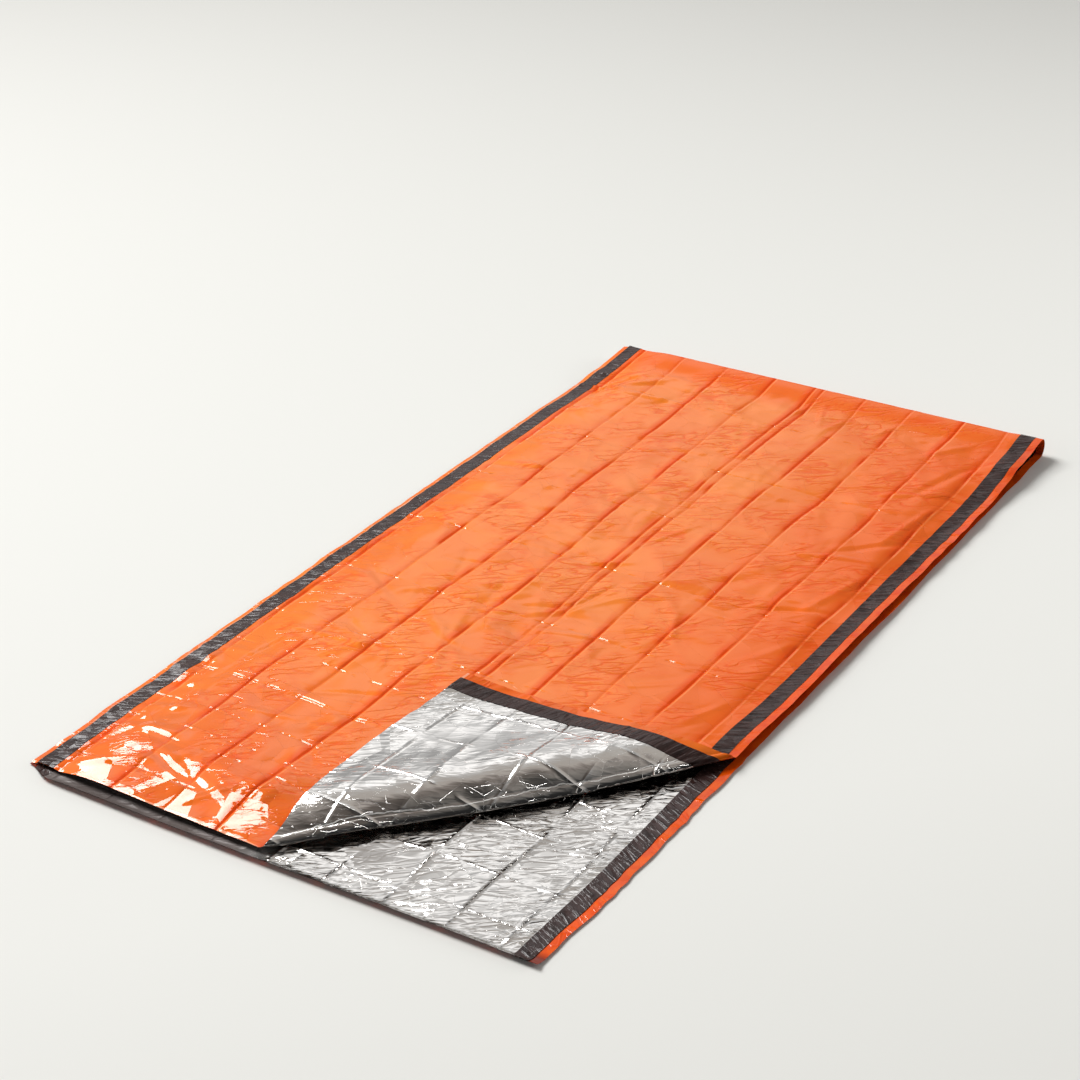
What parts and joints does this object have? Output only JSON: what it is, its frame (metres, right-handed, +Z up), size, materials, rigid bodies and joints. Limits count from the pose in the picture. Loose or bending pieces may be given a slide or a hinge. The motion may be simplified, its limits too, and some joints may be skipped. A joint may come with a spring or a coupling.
{
  "type": "emergency sleeping bag",
  "caption": "Orange film emergency sleeping bag with a silver lining and black edge bands, laid flat with one corner of its open side turned back.",
  "frame": {"origin": "middle of the laid bag, on the surface that it lies on", "axes": "+X across the bag to its open side, +Y along the bag from the mouth to the foot, +Z up"},
  "size_m": [1.0268, 1.9252, 0.0538],
  "materials": {
    "orange_film": "semi-gloss creased film",
    "silver_film": "bright metallised film, finely creased",
    "black_tape": "glossy wrinkled tape"
  },
  "bodies": {
    "root": {"shell": "orange_film", "lining": "silver_film", "band_outer_left": "black_tape", "band_outer_right": "black_tape", "band_inner_left": "black_tape", "band_inner_right": "black_tape"}
  },
  "joints": []
}
